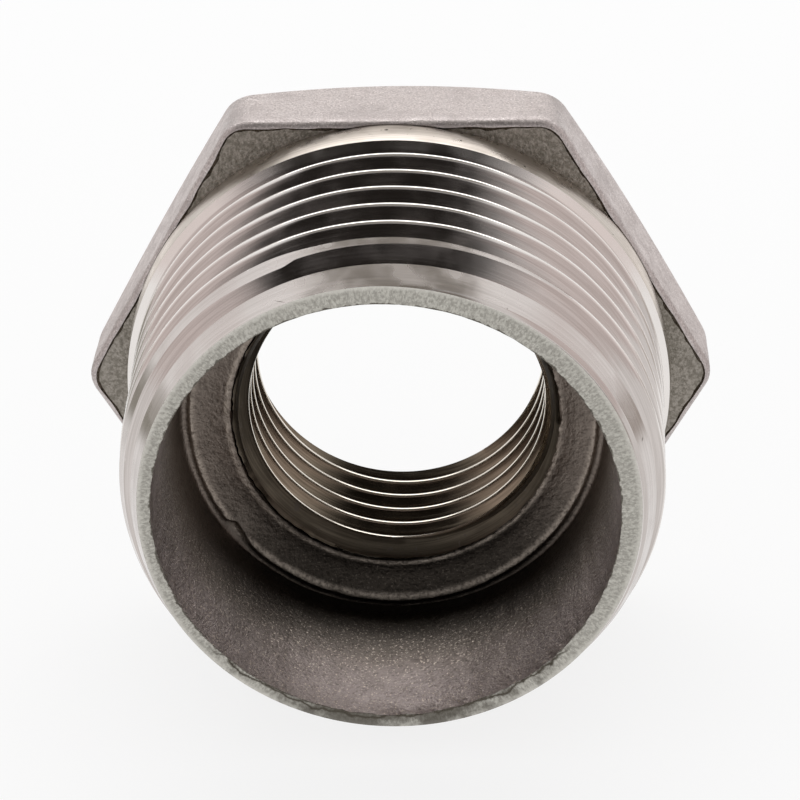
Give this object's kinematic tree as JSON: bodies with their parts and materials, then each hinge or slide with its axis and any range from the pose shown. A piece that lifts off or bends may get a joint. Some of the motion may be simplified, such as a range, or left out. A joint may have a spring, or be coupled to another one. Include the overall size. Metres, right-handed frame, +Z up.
{
  "type": "hex bushing",
  "caption": "Cast stainless reducing hex bushing: hex head, taper male threaded shank with a cored cavity in its end, and a smaller female threaded bore through the hex.",
  "frame": {"origin": "centre of the overall length, on the plane that the lower spanner flat rests on", "axes": "Y along the bushing's axis, +Y out of the hex end and -Y out of the male end; +Z up, square to the lower and upper spanner flats; X across the hex corners"},
  "size_m": [0.0398, 0.0244, 0.035],
  "materials": {
    "cast_stainless": "sandblasted casting with bright turned threads and faces"
  },
  "bodies": {
    "root": {"hex_bushing": "cast_stainless"}
  },
  "joints": []
}
